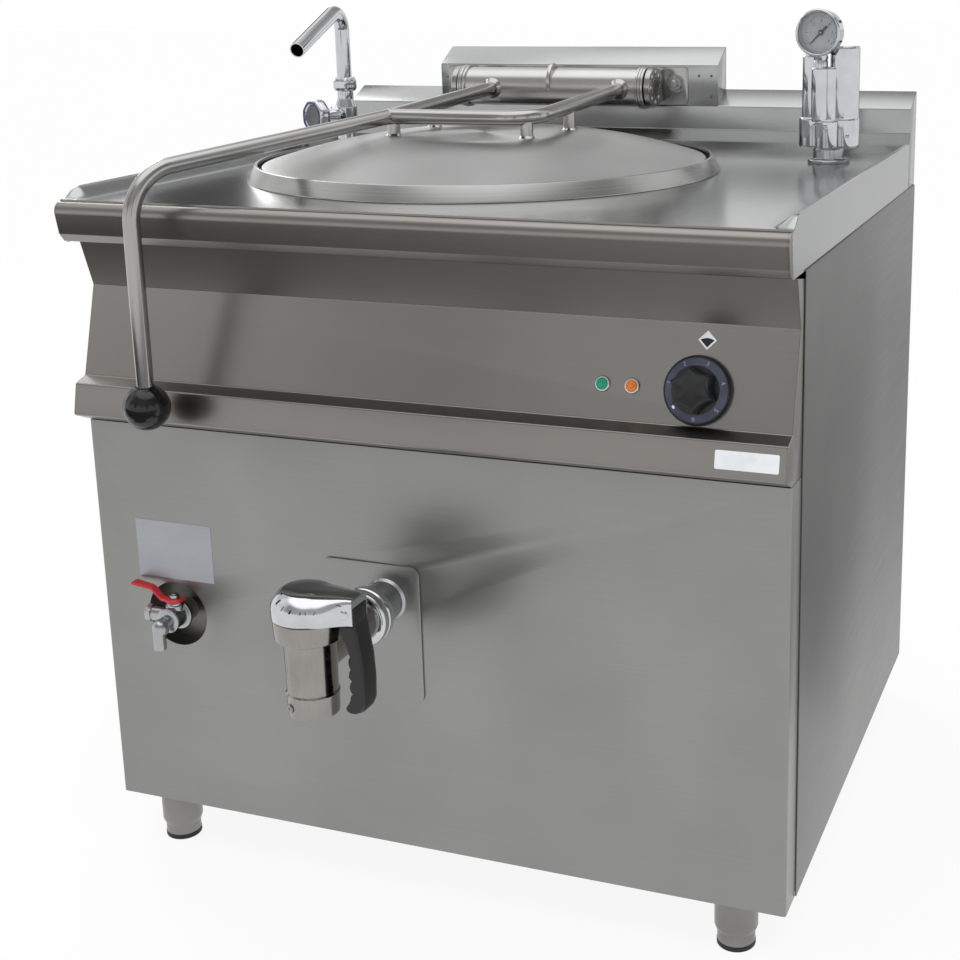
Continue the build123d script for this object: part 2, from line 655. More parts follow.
def jacket_shell():
    """Water jacket round the pan, with its top ring, and openings for the pipes."""
    outer = Pos(PAN_X, PAN_Y, 0) * Cylinder(
        JACKET_R, JACKET_TOP - JACKET_BOTTOM_Z, align=(Align.CENTER, Align.CENTER, Align.MIN))
    outer = Pos(0, 0, JACKET_BOTTOM_Z) * outer
    outer = fillet(outer.edges().sort_by(Axis.Z)[0], PAN_CORNER_R)
    core = Pos(PAN_X, PAN_Y, JACKET_BOTTOM_Z + JACKET_WALL) * Cylinder(
        JACKET_R - JACKET_WALL, JACKET_TOP - JACKET_BOTTOM_Z - 2 * JACKET_WALL,
        align=(Align.CENTER, Align.CENTER, Align.MIN))
    core = fillet(core.edges().sort_by(Axis.Z)[0], PAN_CORNER_R - JACKET_WALL)
    shell = outer - core
    shell -= Pos(PAN_X, PAN_Y, JACKET_TOP) * Cylinder(PAN_R + PAN_WALL + WELD_GAP, 4 * JACKET_WALL)
    front = PAN_Y - JACKET_R - 5
    shell -= rod((DRAW_X, front, DRAW_Z), (DRAW_X, PAN_Y - PAN_R, DRAW_Z), DRAW_PIPE_R + WELD_GAP)
    shell -= rod((TAP_X, 0, TAP_Z), (TAP_X, PAN_Y, TAP_Z), TAP_BORE_R)
    shell -= rod(STEAM_TURN, (PAN_X, PAN_Y, STEAM_Z), STEAM_PIPE_R - PIPE_WALL)
    for wide, half in heater_loops():
        for x in (PAN_X - wide, PAN_X + wide):
            shell -= Pos(x, PAN_Y + HEATER_STEM_Y, JACKET_BOTTOM_Z) * Cylinder(
                HEATER_R + WELD_GAP, 4 * JACKET_WALL)
    return shell


def insulation():
    """Mineral wool sleeve round the jacket, cut away for the pipes."""
    inner = JACKET_R + LAGGING_GAP
    sleeve = Pos(PAN_X, PAN_Y, LAGGING_BOTTOM_Z) * Cylinder(
        inner + LAGGING, LAGGING_TOP_Z - LAGGING_BOTTOM_Z, align=(Align.CENTER, Align.CENTER, Align.MIN))
    sleeve -= Pos(PAN_X, PAN_Y, LAGGING_BOTTOM_Z) * Cylinder(
        inner, 3 * (LAGGING_TOP_Z - LAGGING_BOTTOM_Z))
    sleeve -= rod((DRAW_X, 0, DRAW_Z), (DRAW_X, PAN_Y, DRAW_Z), DRAW_PIPE_R + 2)
    sleeve -= rod((TAP_X, 0, TAP_Z), (TAP_X, PAN_Y, TAP_Z), TAP_PIPE_R + 2)
    return sleeve


def heater_loops():
    """Half width and reach toward the front of each heater loop."""
    return [(60.0 + i * HEATER_SPREAD, HEATER_REACH - i * HEATER_PITCH) for i in range(HEATER_COUNT)]


def heating_elements():
    """Tubular heaters in the jacket water: open loops, each on two stems through the jacket bottom."""
    low = JACKET_BOTTOM_Z - HEATER_STEM
    back = PAN_Y + HEATER_STEM_Y
    group = []
    for wide, half in heater_loops():
        points = [
            (PAN_X - wide, back, low), (PAN_X - wide, back, HEATER_Z),
            (PAN_X - wide, PAN_Y - half, HEATER_Z), (PAN_X + wide, PAN_Y - half, HEATER_Z),
            (PAN_X + wide, back, HEATER_Z), (PAN_X + wide, back, low),
        ]
        group.append(bent_bar(points, 2.5 * HEATER_R, HEATER_R))
    return Compound(children=[solid for bar in group for solid in bar.solids()])


def jacket_outside():
    """The jacket's outer cylinder, which pipe ends are fitted to."""
    return Pos(PAN_X, PAN_Y, JACKET_BOTTOM_Z) * Cylinder(
        JACKET_R, JACKET_TOP - JACKET_BOTTOM_Z, align=(Align.CENTER, Align.CENTER, Align.MIN))


def draw_off_pipe():
    """Outlet pipe from the pan wall through the jacket and the front panel."""
    front = (DRAW_X, -COUPLING_OUT + COUPLING_W, DRAW_Z)
    back = (DRAW_X, PAN_Y - PAN_R + PAN_CORNER_R, DRAW_Z)
    pipe = ring(front, back, DRAW_PIPE_R, DRAW_PIPE_R - DRAW_PIPE_WALL)
    return pipe - pan_body(PAN_R + PAN_WALL, PAN_BOTTOM - PAN_WALL, FLANGE_TOP)


def escutcheon_plate():
    """Plate round the draw-off pipe on the front panel."""
    plate = block(PLATE_LEFT, PLATE_RIGHT, -PLATE_T, 0, PLATE_LOW, PLATE_HIGH)
    plate = fillet(plate.edges().filter_by(Axis.Y), PLATE_CORNER_R)
    return plate - rod((DRAW_X, -9, DRAW_Z), (DRAW_X, 9, DRAW_Z), DRAW_PIPE_R + WELD_GAP)


def draw_off_coupling():
    """Union that joins the valve to the outlet pipe."""
    start = (DRAW_X, -COUPLING_OUT, DRAW_Z)
    end = (DRAW_X, -COUPLING_OUT + COUPLING_W, DRAW_Z)
    union = rod(start, end, COUPLING_R)
    union = chamfer(union.edges().filter_by(GeomType.CIRCLE), 2.0)
    return union - rod(start, end, NECK_BORE_R)


def draw_off_body():
    """Cast valve body: upright barrel with a seat, a capped top ring, the inlet neck and the pivot lug."""
    cap_low = VALVE_TOP - VALVE_CAP_T
    seat_top = SEAT_Z + SEAT_T
    band_top = VALVE_LOW + VALVE_BAND_H
    section = [
        (0, VALVE_LOW), (VALVE_BAND_R - 1, VALVE_LOW), (VALVE_BAND_R, VALVE_LOW + 1),
        (VALVE_BAND_R, band_top), (VALVE_R, band_top + 1.5), (VALVE_R, VALVE_RING_LOW),
        (VALVE_RING_R, VALVE_RING_LOW + 2), (VALVE_RING_R, VALVE_TOP), (0, VALVE_TOP),
    ]
    body = turned(section, DRAW_X, VALVE_Y)
    body += rod((DRAW_X, VALVE_Y, DRAW_Z), (DRAW_X, -COUPLING_OUT, DRAW_Z), NECK_R)
    arm = [
        (DRAW_X + 18, VALVE_TOP - 1), (DRAW_X + VALVE_RING_R - 1, VALVE_TOP - 1),
        (DRAW_X + VALVE_RING_R + 3, PIN_Z - LUG_R), (PIN_X, PIN_Z - LUG_R),
        (PIN_X, PIN_Z + LUG_R), (DRAW_X + 18, PIN_Z + 2),
    ]
    body += along_y(arm, VALVE_Y - LUG_HALF, VALVE_Y + LUG_HALF)
    body += rod((PIN_X, VALVE_Y - LUG_HALF, PIN_Z), (PIN_X, VALVE_Y + LUG_HALF, PIN_Z), LUG_R)
    hollow = [
        (0, VALVE_LOW - 1), (VALVE_BORE_R, VALVE_LOW - 1), (VALVE_BORE_R, SEAT_Z), (SEAT_R, SEAT_Z),
        (SEAT_R, seat_top), (VALVE_BORE_R, seat_top), (VALVE_BORE_R, cap_low),
        (STEM_R + STEM_RUN, cap_low), (STEM_R + STEM_RUN, VALVE_TOP + 1), (0, VALVE_TOP + 1),
    ]
    body -= turned(hollow, DRAW_X, VALVE_Y)
    body -= rod((DRAW_X, VALVE_Y, DRAW_Z), (DRAW_X, 0, DRAW_Z), NECK_BORE_R)
    return body - rod((PIN_X, VALVE_Y - 20, PIN_Z), (PIN_X, VALVE_Y + 20, PIN_Z), PIN_R + WELD_GAP)


def draw_off_plug():
    """Seat disc and stem that the lever lifts."""
    low = SEAT_Z + SEAT_T
    section = [
        (0, low), (PLUG_R, low), (PLUG_R, low + PLUG_T - 2), (PLUG_R - 3, low + PLUG_T),
        (STEM_R, low + PLUG_T), (STEM_R, STEM_TOP), (0, STEM_TOP),
    ]
    return turned(section, DRAW_X, VALVE_Y)


def hood_plan(radius, half, end):
    """Plan of the hood: a round over the barrel, running out to the lever side."""
    with BuildSketch() as plan:
        with Locations((DRAW_X, VALVE_Y)):
            Circle(radius)
        with BuildLine():
            Polyline((DRAW_X, VALVE_Y - radius * 0.96), (PIN_X - 14, VALVE_Y - half), (end, VALVE_Y - half),
                     (end, VALVE_Y + half), (PIN_X - 14, VALVE_Y + half), (DRAW_X, VALVE_Y + radius * 0.96),
                     close=True)
        make_face()
    return plan.sketch


def draw_off_hood():
    """Polished hood of the lever: a hollow cover, domed over the barrel, with a channel for the handle."""
    low = VALVE_TOP + HOOD_LIFT
    hood = Pos(0, 0, low) * extrude(hood_plan(HOOD_R, HOOD_HALF, HOOD_END_X), amount=HOOD_TOP - low)
    hood = chamfer(hood.faces().sort_by(Axis.Z)[-1].edges(), HOOD_DOME - 3, HOOD_DOME)
    plan = hood_plan(HOOD_R - HOOD_WALL, HOOD_HALF - HOOD_WALL, HOOD_END_X + 5)
    inner = Pos(0, 0, low - 1) * extrude(plan, amount=HOOD_TOP - low - HOOD_DOME + 3)
    hood -= inner
    return hood - rod((PIN_X, VALVE_Y - 30, PIN_Z), (PIN_X, VALVE_Y + 30, PIN_Z), PIN_R + PIN_RUN)


def draw_off_handle():
    """Black handle that hangs from the hood, with finger grooves toward the valve."""
    top = VALVE_TOP + HOOD_LIFT
    back = GRIP_OUT_X
    face = [
        (PIN_X - 6, top), (PIN_X - 6, top - 12), (GRIP_IN_X + 5, top - 26), (GRIP_IN_X + 5, GRIP_LOW + 14),
        (GRIP_IN_X, GRIP_LOW + 6), (GRIP_IN_X + 3, GRIP_LOW), (back - 5, GRIP_LOW), (back, GRIP_LOW + 8),
        (back, GRIP_LOW + 40), (HOOD_END_X + 1, top),
    ]
    handle = along_y(face, VALVE_Y - GRIP_W / 2, VALVE_Y + GRIP_W / 2)
    step = (top - 26 - GRIP_LOW - 14) / GROOVES
    for i in range(GROOVES):
        z = GRIP_LOW + 14 + (i + 0.5) * step
        x = GRIP_IN_X + 5 - GROOVE_R + 3
        handle -= rod((x, VALVE_Y - 30, z), (x, VALVE_Y + 30, z), GROOVE_R)
    head_half = HOOD_HALF - HOOD_WALL
    head = block(PIN_X + LUG_R + 1, HOOD_END_X + 1, VALVE_Y - head_half, VALVE_Y + head_half,
                 top, HOOD_TOP - HOOD_DOME - 2)
    handle += head
    return handle - rod((PIN_X, VALVE_Y - 30, PIN_Z), (PIN_X, VALVE_Y + 30, PIN_Z), LUG_R + 1)


def draw_off_pin():
    """Pivot pin of the lever, with a head at each end."""
    out = HOOD_HALF + 0.5
    pin = rod((PIN_X, VALVE_Y - out, PIN_Z), (PIN_X, VALVE_Y + out, PIN_Z), PIN_R)
    for side in (-1, 1):
        y = VALVE_Y + side * out
        pin += rod((PIN_X, y, PIN_Z), (PIN_X, y + side * 2, PIN_Z), PIN_R + 2)
    return pin


def level_pipe():
    """Pipe from the jacket to the level tap."""
    pipe = ring((TAP_X, TAP_Y + TAP_PORT_L, TAP_Z), (TAP_X, PAN_Y, TAP_Z), TAP_PIPE_R, TAP_BORE_R)
    return pipe - jacket_outside()


def tap_recess():
    """Shallow dish behind the round opening, spot-welded to the front panel by its flange."""
    def disc(radius, front, back, x=TAP_HOLE_X, z=TAP_HOLE_Z):
        return rod((x, front, z), (x, back, z), radius)
    dish = disc(RECESS_R + RECESS_FLANGE, SHEET, SHEET + RECESS_SHEET)
    dish += disc(RECESS_R, SHEET, RECESS_BACK_Y)
    dish -= disc(RECESS_R - RECESS_SHEET, 0, RECESS_BACK_Y - RECESS_SHEET)
    return dish - disc(TAP_PIPE_R + WELD_GAP, 0, 2 * RECESS_BACK_Y, TAP_X, TAP_Z)


def level_tap_body():
    """Small ball valve: barrel, capped side port, bonnet, and an outlet elbow that points down."""
    centre = (TAP_X, TAP_Y, TAP_Z)
    body = rod((TAP_X, TAP_Y + TAP_PORT_L, TAP_Z), (TAP_X, TAP_SPOUT_Y + 16, TAP_Z), TAP_BODY_R)
    body += rod((TAP_X, TAP_Y + 8, TAP_Z), (TAP_X, TAP_Y + 5, TAP_Z), TAP_BODY_R + 4)
    body += rod((TAP_X, TAP_SPOUT_Y + 20, TAP_Z), (TAP_X, TAP_SPOUT_Y + 16, TAP_Z), TAP_BODY_R + 1)
    body += rod(centre, (TAP_X, TAP_Y, TAP_Z + TAP_BODY_R + 4), TAP_BONNET_R)
    port_end = TAP_X - TAP_BODY_R - 15
    body += rod(centre, (port_end, TAP_Y, TAP_Z), TAP_BONNET_R)
    cap = Plane(origin=(port_end, TAP_Y, TAP_Z), z_dir=(-1, 0, 0)) * extrude(
        RegularPolygon(TAP_BONNET_R + 2, 6), amount=7)
    body += cap
    elbow = [
        (TAP_X, TAP_SPOUT_Y + 20, TAP_Z), (TAP_X, TAP_SPOUT_Y, TAP_Z), (TAP_X, TAP_SPOUT_Y, TAP_SPOUT_LOW)]
    body += bent_bar(elbow, TAP_SPOUT_R + 4, TAP_SPOUT_R)
    body -= bent_bar(elbow, TAP_SPOUT_R + 4, TAP_BORE_R)
    body -= rod((TAP_X, TAP_Y + TAP_PORT_L + 1, TAP_Z), (TAP_X, TAP_SPOUT_Y + 19, TAP_Z), TAP_BORE_R)
    body -= Pos(*centre) * Sphere(TAP_BALL_R + TAP_RUN)
    return body - rod(centre, (TAP_X, TAP_Y, TAP_STEM_TOP), TAP_STEM_R + TAP_RUN)


def level_tap_ball():
    """Ball with its bore along the pipe when the tap is open, and the stem on top of it."""
    centre = (TAP_X, TAP_Y, TAP_Z)
    ball = Pos(*centre) * Sphere(TAP_BALL_R)
    ball -= rod((TAP_X - 20, TAP_Y, TAP_Z), (TAP_X + 20, TAP_Y, TAP_Z), TAP_BORE_R)
    return ball + rod((TAP_X, TAP_Y, TAP_Z + TAP_BORE_R + 2), (TAP_X, TAP_Y, TAP_STEM_TOP), TAP_STEM_R)


def level_tap_lever():
    """Bent lever of the tap, held on the stem by a nut."""
    low = TAP_Z + TAP_BODY_R + 5
    line = [
        (TAP_X + 9, low), (TAP_X - 17, low), (TAP_X - 27, low + 11), (TAP_X - TAP_LEVER_L, low + 15)]
    half = TAP_LEVER_W / 2
    lever = along_y(sheet(line, TAP_LEVER_T), TAP_Y - half, TAP_Y + half)
    lever += Pos(TAP_X, TAP_Y, low + TAP_LEVER_T) * extrude(RegularPolygon(6, 6), amount=5)
    return lever - rod((TAP_X, TAP_Y, low - 9), (TAP_X, TAP_Y, TAP_STEM_TOP), TAP_STEM_R)


def water_tap_body():
    """Upright body of the water tap with its nut, side valve and tail hole."""
    top = WORKTOP_Z + WATER_BODY_H
    nut_top = top + WATER_NUT_H
    seat = top + 2
    section = [
        (0, WORKTOP_Z), (WATER_R, WORKTOP_Z), (WATER_R, top), (WATER_NUT_R - 2, top),
        (WATER_NUT_R, top + 2), (WATER_NUT_R, nut_top - 2), (WATER_NUT_R - 2, nut_top),
        (SPOUT_R + SPOUT_RUN, nut_top), (SPOUT_R + SPOUT_RUN, seat), (0, seat),
    ]
    body = turned(section, WATER_X, WATER_Y)
    hub = (WATER_X, WATER_Y, WHEEL_Z)
    body += rod(hub, wheel_point(WHEEL_REACH), WATER_R - 3)
    body -= rod(wheel_point(WATER_R), wheel_point(WHEEL_REACH + 1), SPINDLE_R + WELD_GAP)
    return body


def wheel_point(reach):
    """A point on the handwheel's axis, so far from the tap's own axis."""
    turn = radians(WHEEL_TURN)
    return (WATER_X - reach * sin(turn), WATER_Y - reach * cos(turn), WHEEL_Z)


def water_tap_handwheel():
    """Lobed handwheel on its spindle."""
    back = wheel_point(WHEEL_REACH + WHEEL_GAP)
    turn = radians(WHEEL_TURN)
    plane = Plane(origin=back, z_dir=(-sin(turn), -cos(turn), 0))
    wheel = Cylinder(WHEEL_R, WHEEL_T, align=(Align.CENTER, Align.CENTER, Align.MIN))
    wheel = chamfer(wheel.edges().filter_by(GeomType.CIRCLE), 3.0)
    for i in range(WHEEL_LOBES):
        angle = 2 * pi * i / WHEEL_LOBES
        reach = WHEEL_R + 6.0
        wheel -= Pos(reach * cos(angle), reach * sin(angle), WHEEL_T / 2) * Cylinder(9.0, 2 * WHEEL_T)
    wheel = plane * wheel
    return wheel + rod(wheel_point(WATER_R + 1), wheel_point(WHEEL_REACH + WHEEL_GAP + 2), SPINDLE_R)


def water_tap_spout():
    """Swivelling spout: up from the nut, over, and down at a slant to its open end."""
    end_x, end_y, end_z = SPOUT_END
    run = hypot(end_x - WATER_X, end_y - WATER_Y)
    corner = end_z + run * tan(radians(SPOUT_SLOPE))
    start = WORKTOP_Z + WATER_BODY_H + 3
    points = [(WATER_X, WATER_Y, start), (WATER_X, WATER_Y, corner), SPOUT_END]
    return bent_tube(points, SPOUT_BEND_R, SPOUT_R, SPOUT_WALL)


def water_pipe():
    """Tail of the water tap, down inside the cabinet and back to the inlet."""
    points = [
        (WATER_X, WATER_Y, WORKTOP_Z), (WATER_X, WATER_Y, INLET_Z), (INLET_X, WATER_Y + TAIL_RUN, INLET_Z),
        (INLET_X, DEPTH + 6, INLET_Z)]
    return bent_tube(points, TAIL_BEND_R, TAIL_R, PIPE_WALL)


def water_inlet():
    """Threaded stub for the water supply, through the rear panel."""
    nut = rod((INLET_X, DEPTH, INLET_Z), (INLET_X, DEPTH + 4, INLET_Z), INLET_R + 5)
    stub = rod((INLET_X, DEPTH - 8, INLET_Z), (INLET_X, DEPTH + INLET_L, INLET_Z), INLET_R)
    return nut + stub - rod((INLET_X, 0, INLET_Z), (INLET_X, DEPTH + BEYOND, INLET_Z), TAIL_R + WELD_GAP)


def cable_gland():
    """Gland for the supply cable, through the rear panel."""
    hexagon = Pos(GLAND_X, DEPTH + 8, INLET_Z) * Rot(90, 0, 0) * extrude(RegularPolygon(GLAND_R, 6), amount=8)
    barrel = rod((GLAND_X, DEPTH - 8, INLET_Z), (GLAND_X, DEPTH + 20, INLET_Z), GLAND_R - 3)
    return hexagon + barrel - rod((GLAND_X, 0, INLET_Z), (GLAND_X, DEPTH + BEYOND, INLET_Z), GLAND_BORE_R)


def steam_pipe():
    """Pipe from the top of the jacket up to the safety group."""
    points = [(SAFETY_X, SAFETY_Y, WORKTOP_Z), STEAM_TURN, (PAN_X, PAN_Y, STEAM_Z)]
    pipe = bent_tube(points, STEAM_BEND_R, STEAM_PIPE_R, PIPE_WALL)
    return pipe - jacket_outside()


def safety_base():
    """Round flange and neck that carry the safety group over the worktop."""
    section = [
        (0, WORKTOP_Z), (SAFETY_FLANGE_R, WORKTOP_Z), (SAFETY_FLANGE_R, WORKTOP_Z + SAFETY_FLANGE_T - 1),
        (SAFETY_FLANGE_R - 1, WORKTOP_Z + SAFETY_FLANGE_T), (SAFETY_NECK_R, WORKTOP_Z + SAFETY_FLANGE_T),
        (SAFETY_NECK_R, WORKTOP_Z + SAFETY_LOW), (0, WORKTOP_Z + SAFETY_LOW),
    ]
    return turned(section, SAFETY_X, SAFETY_Y)


def safety_body():
    """Cast body of the safety group: valve, air vent and gauge post side by side."""
    z0 = WORKTOP_Z + SAFETY_LOW
    z1 = WORKTOP_Z + SAFETY_MID
    z2 = WORKTOP_Z + SAFETY_TOP

    def post(dx, dy, radius, low, high):
        piece = Pos(SAFETY_X + dx, SAFETY_Y + dy, low) * Cylinder(
            radius, high - low, align=(Align.CENTER, Align.CENTER, Align.MIN))
        return fillet(piece.edges().filter_by(GeomType.CIRCLE), 2.0)
    lobe = SAFETY_LOBE_X
    body = post(-lobe, 0, SAFETY_LOBE_R, z0, z1)
    body += post(lobe, 0, SAFETY_LOBE_R, z0, z1)
    body += post(0, -8, SAFETY_LOBE_R - 2, z0, z1)
    body += block(SAFETY_X - lobe, SAFETY_X + lobe, SAFETY_Y - 10, SAFETY_Y + 12, z0 + 2, z1 + 6)
    body += post(-lobe - 2, 0, SAFETY_LOBE_R - 5, z1 - 4, z2 - 10)
    body += post(lobe, 0, SAFETY_LOBE_R - 1, z1 - 4, z2)
    body += post(GAUGE_DX, GAUGE_DY, GAUGE_STEM_R + 5, z1 - 4, z2 - 24)
    body += block(SAFETY_X - lobe, SAFETY_X + lobe, SAFETY_Y - 6, SAFETY_Y + 10, z1, z2 - 26)
    body += rod((SAFETY_X + GAUGE_DX, SAFETY_Y + GAUGE_DY, z2 - 26),
                (SAFETY_X + GAUGE_DX, SAFETY_Y + GAUGE_DY, WORKTOP_Z + GAUGE_RISE), GAUGE_STEM_R)
    return body - gauge_disc(GAUGE_R, -1, GAUGE_T)


def gauge_disc(radius, back, front):
    """A disc on the gauge's axis; zero is the back of its case and the dial faces the user."""
    turn = radians(GAUGE_TURN)
    ahead = (-sin(turn), -cos(turn), 0)
    centre = (SAFETY_X + GAUGE_DX, SAFETY_Y + GAUGE_DY + GAUGE_T / 2, WORKTOP_Z + GAUGE_RISE)
    start = tuple(c + back * a for c, a in zip(centre, ahead))
    end = tuple(c + front * a for c, a in zip(centre, ahead))
    return rod(start, end, radius)


def gauge_case():
    """Round case of the pressure gauge, open to the front."""
    return gauge_disc(GAUGE_R, 0, GAUGE_T) - gauge_disc(GAUGE_R - 2, 3, GAUGE_T + 1)


def gauge_dial():
    """Dial plate with the pin that the needle turns on."""
    return gauge_disc(GAUGE_R - 2 - WELD_GAP, 3, DIAL_FRONT) + gauge_disc(1.0, DIAL_FRONT, DIAL_FRONT + 5)


def gauge_needle():
    """Needle with its counterweight tail, at the zero of the dial."""
    turn = radians(GAUGE_TURN)
    ahead = Vector(-sin(turn), -cos(turn), 0)
    centre = Vector(SAFETY_X + GAUGE_DX, SAFETY_Y + GAUGE_DY + GAUGE_T / 2, WORKTOP_Z + GAUGE_RISE)
    plane = Plane(origin=centre + ahead * (DIAL_FRONT + 1.5), x_dir=(cos(turn), -sin(turn), 0), z_dir=ahead)
    blade = extrude(outline([(-NEEDLE_L, 0), (0, -1.8), (7, -2.2), (7, 2.2), (0, 1.8)]), amount=0.8)
    blade += Cylinder(3.2, 2.0, align=(Align.CENTER, Align.CENTER, Align.MIN))
    blade -= Cylinder(1.0 + SHAFT_RUN, 20)
    return plane * Rot(0, 0, NEEDLE_ZERO) * blade


def gauge_glass():
    """Clear window of the gauge."""
    return gauge_disc(GAUGE_R - 2 - WELD_GAP, GAUGE_T - 1 - GLASS_T, GAUGE_T - 1)


def lamp(x):
    """Signal lamp: lens dome, bezel, and a shank through the control face."""
    plane = Plane(origin=on_control_face(x, LAMP_UP, 0), x_dir=(1, 0, 0), z_dir=CONTROL_NORMAL)
    section = [
        (0, -18), (LAMP_R - 1.55, -18), (LAMP_R - 1.55, 0), (LAMP_R, 0), (LAMP_R, 1.5), (LAMP_R - 1, 2.5),
        (LAMP_R - 2, 2.5), (LAMP_R - 2.5, 4.5), (LAMP_R - 4.5, 6), (0, 6.5),
    ]
    return plane * revolve(Plane.XZ * outline(section), axis=Axis.Z)


def thermostat_knob():
    """Control knob: tapered skirt, fluted grip and the spindle it turns."""
    plane = Plane(origin=on_control_face(KNOB_X, KNOB_UP, 0), x_dir=(1, 0, 0), z_dir=CONTROL_NORMAL)
    top = KNOB_SKIRT_T + KNOB_GRIP_T
    section = [
        (0, KNOB_GAP), (KNOB_SKIRT_R, KNOB_GAP), (KNOB_SKIRT_R, 3), (KNOB_SKIRT_R - 3, KNOB_SKIRT_T - 2),
        (KNOB_SKIRT_R - 6, KNOB_SKIRT_T), (KNOB_GRIP_R, KNOB_SKIRT_T), (KNOB_GRIP_R - 1, top - 2),
        (KNOB_GRIP_R - 3, top), (0, top),
    ]
    knob = revolve(Plane.XZ * outline(section), axis=Axis.Z)
    for i in range(KNOB_FLUTES):
        angle = 2 * pi * (i + 0.5) / KNOB_FLUTES
        reach = KNOB_GRIP_R + 7.0
        knob -= Pos(reach * cos(angle), reach * sin(angle), top) * Cylinder(11.0, 2 * KNOB_GRIP_T)
    knob += Pos(0, 0, -THERMOSTAT_D / 2) * Cylinder(
        SPINDLE_R, THERMOSTAT_D / 2 + 2, align=(Align.CENTER, Align.CENTER, Align.MIN))
    return plane * knob


def thermostat_body():
    """Thermostat behind the control face, with the hole for the spindle."""
    plane = Plane(origin=on_control_face(KNOB_X, KNOB_UP, -SHEET), x_dir=(1, 0, 0), z_dir=CONTROL_NORMAL)
    body = Pos(0, 0, -THERMOSTAT_D / 2) * Box(THERMOSTAT_W, THERMOSTAT_W, THERMOSTAT_D)
    body -= Cylinder(SPINDLE_R + SHAFT_RUN, 2 * THERMOSTAT_D - 12)
    return plane * body


def control_box():
    """Closed box with the contactors and terminals, on the right side panel."""
    w, d, h = CONTROL_BOX
    x1 = HALF - SHEET
    y0 = POST_FRONT_Y + POST
    z0 = CONTROL_LOW[1] - h / 3
    return block(x1 - w, x1, y0, y0 + d, z0, z0 + h)


def lid_outline():
    """Outer half section of the lid, from its middle to its edge."""
    cone_top = LID_TOP
    cone_low = LID_LOW + LID_EDGE_H
    steps = 5
    points = [(0, LID_TOP)]
    for i in range(steps + 1):
        t = i / steps
        r = LID_DISC_R + (LID_R - 3 - LID_DISC_R) * t
        points.append((r, cone_top + (cone_low - cone_top) * t + LID_BULGE * sin(pi * t)))
    return points + [(LID_R, cone_low - 3), (LID_R, LID_LOW)]


def lid():
    """Spun lid: flat disc, gently swelling cone and turned-down edge."""
    return turned(sheet(lid_outline(), LID_SHEET), PAN_X, PAN_Y)


def lid_outside():
    """Everything under the lid's outer surface, which the frame's feet are fitted to."""
    return turned(lid_outline() + [(0, LID_LOW)], PAN_X, PAN_Y)


def lid_frame():
    """Tube frame over the lid: two arms, a front bar and four feet."""
    hinge_right = (ARM_RIGHT, HINGE_Y, HINGE_Z)
    corner = (ARM_LEFT, BAR_Y, BAR_Z)
    frame = bent_bar([hinge_right, (ARM_RIGHT, BAR_Y, BAR_Z), corner], ARM_BEND_R, TUBE_R)
    frame += rod(corner, (ARM_LEFT, HINGE_Y, HINGE_Z), TUBE_R)
    frame += Pos(*corner) * Sphere(CORNER_WELD_R)
    slope = ARM_DROP / (HINGE_Y - BAR_Y)
    inset = ARM_BEND_R * (1 - cos(radians(45)))
    feet = [
        (ARM_LEFT, BAR_Y + STUB_R), (ARM_RIGHT - inset, BAR_Y + inset),
        (ARM_LEFT, STUB_REAR_Y), (ARM_RIGHT, STUB_REAR_Y),
    ]
    for x, y in feet:
        frame += rod((x, y, LID_TOP - 6), (x, y, BAR_Z + (y - BAR_Y) * slope), STUB_R)
    frame -= lid_outside()
    return frame - rod((DRUM_LEFT, HINGE_Y, HINGE_Z), (DRUM_RIGHT, HINGE_Y, HINGE_Z), DRUM_R)


def lever_points():
    """Centre line of the lever, from the frame's corner to inside the ball."""
    end = BALL_Z + BALL_R - BALL_SOCKET
    return [
        (ARM_LEFT, BAR_Y, BAR_Z), (LEVER_OUT_X, LEVER_OUT_Y, LEVER_BEND_Z), (LEVER_OUT_X, LEVER_OUT_Y, end)]


def lid_handle():
    """Long lever from the frame's corner out over the front and down to the ball."""
    lever = bent_bar(lever_points(), LEVER_BEND_R, TUBE_R)
    lever -= rod((ARM_LEFT, BAR_Y, BAR_Z), (ARM_LEFT, HINGE_Y, HINGE_Z), TUBE_R)
    lever -= rod((ARM_LEFT, BAR_Y, BAR_Z), (ARM_RIGHT, BAR_Y, BAR_Z), TUBE_R)
    return lever - Pos(ARM_LEFT, BAR_Y, BAR_Z) * Sphere(CORNER_WELD_R)


def ball_knob():
    """Ball at the end of the lever."""
    centre = (LEVER_OUT_X, LEVER_OUT_Y, BALL_Z)
    ball = Pos(*centre) * Sphere(BALL_R)
    socket = BALL_Z + BALL_R - BALL_SOCKET
    mouth = (LEVER_OUT_X, LEVER_OUT_Y, BALL_Z + 2 * BALL_R)
    return ball - rod((LEVER_OUT_X, LEVER_OUT_Y, socket), mouth, TUBE_R + WELD_GAP)


def hinge_point(x):
    """A point on the hinge axis."""
    return (x, HINGE_Y, HINGE_Z)


